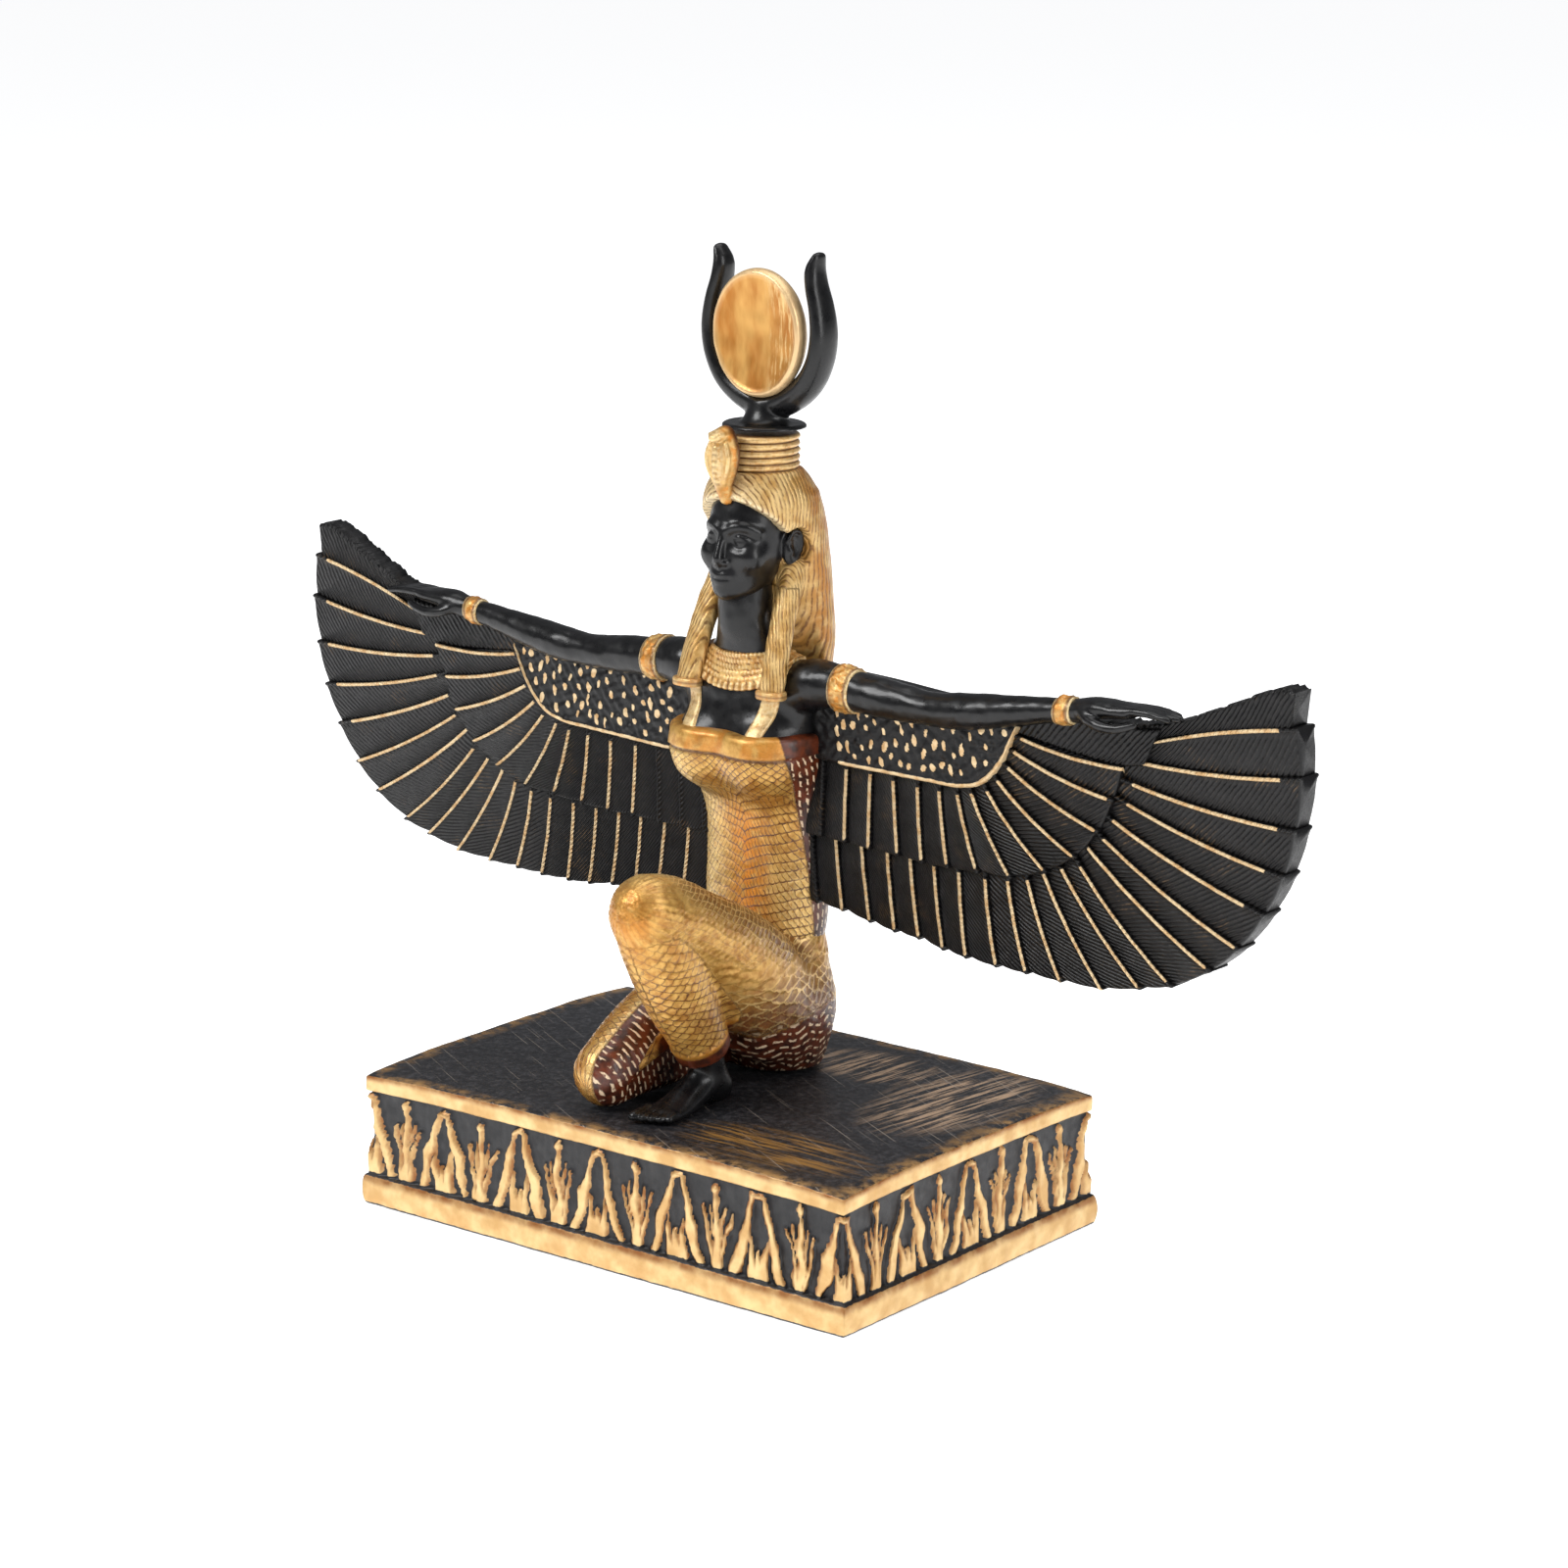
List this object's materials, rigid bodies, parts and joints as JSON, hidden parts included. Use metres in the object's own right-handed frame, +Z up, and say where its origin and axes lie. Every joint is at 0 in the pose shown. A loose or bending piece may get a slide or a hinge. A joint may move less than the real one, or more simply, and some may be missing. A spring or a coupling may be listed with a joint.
{
  "type": "winged deity statue",
  "caption": "Kneeling winged goddess statuette in black and gold painted cast resin, with a horned disc crown, on a rectangular plinth with a lotus frieze.",
  "frame": {"origin": "middle of the plinth's underside, on the surface that the statuette stands on", "axes": "+X towards the goddess's left hand, +Y to her back, so she faces -Y, and +Z up"},
  "size_m": [0.2668, 0.0918, 0.2102],
  "materials": {
    "gold_paint": "antique gold metallic paint on cast resin, brown wash in the hollows, satin",
    "black_paint": "black satin paint on cast resin, gold dry-brushed on raised edges"
  },
  "bodies": {
    "root": {"plinth": "black_paint", "winged_figure": "gold_paint", "horned_disc_crown": "black_paint"}
  },
  "joints": []
}
